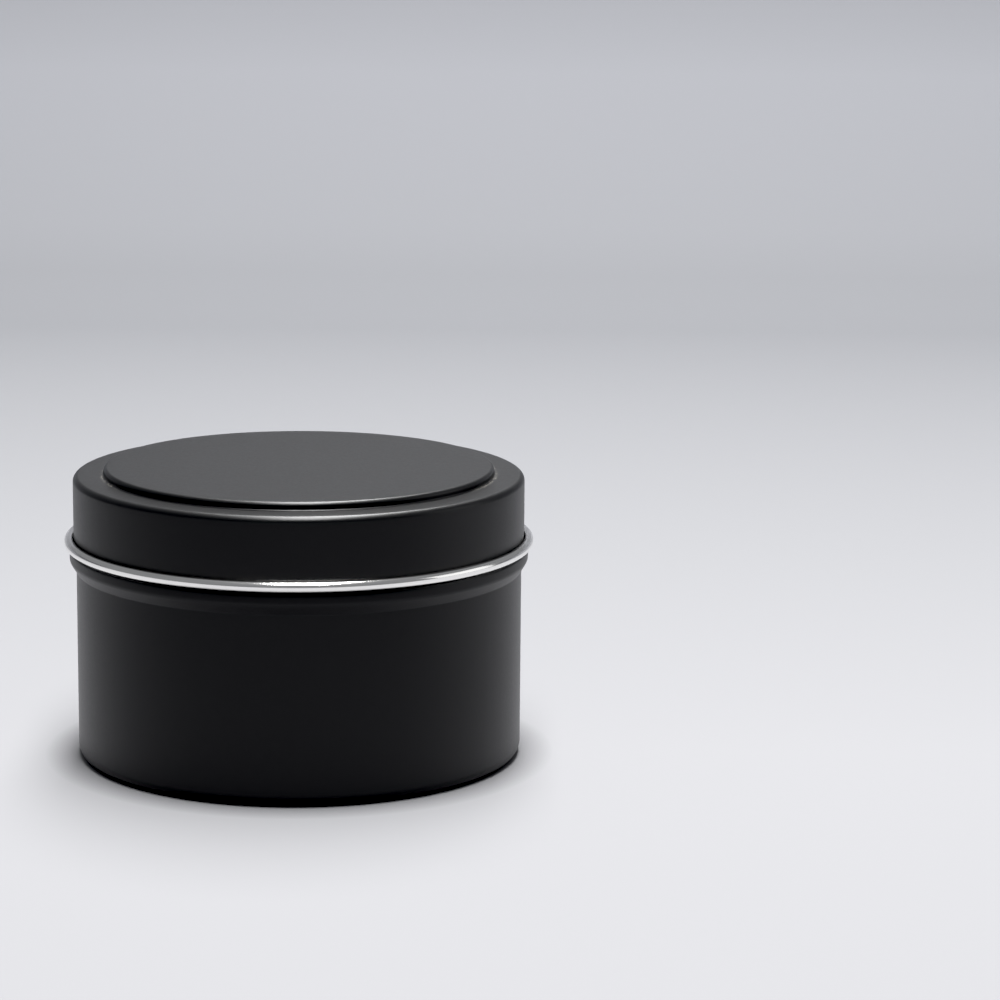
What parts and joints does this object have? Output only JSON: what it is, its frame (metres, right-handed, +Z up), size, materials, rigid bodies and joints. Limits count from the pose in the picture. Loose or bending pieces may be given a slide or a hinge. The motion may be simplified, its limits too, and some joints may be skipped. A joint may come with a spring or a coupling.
{
  "type": "candle tin",
  "caption": "Low round candle tin with a lift-off slip lid, a raised lid panel, a bare rolled lid edge, a stop bead round the body and a recessed base.",
  "frame": {"origin": "centre of the standing ring's circle, on the plane the tin rests on", "axes": "+Z up along the axis of the body and the lid; +X and +Y are any two directions across, because the tin is round"},
  "size_m": [0.0812, 0.0812, 0.0507],
  "materials": {
    "black_enamel_tinplate": "satin black baked enamel outside, bare bright tinplate inside and on the lid's rolled edge"
  },
  "bodies": {
    "tin_body": {"tin_body": "black_enamel_tinplate"},
    "lid": {"lid": "black_enamel_tinplate"}
  },
  "joints": [
    {"name": "lid_lift", "type": "slide", "parent": "tin_body", "child": "lid", "axis": [0, 0, 1], "range_m": [0, 0.04]}
  ]
}
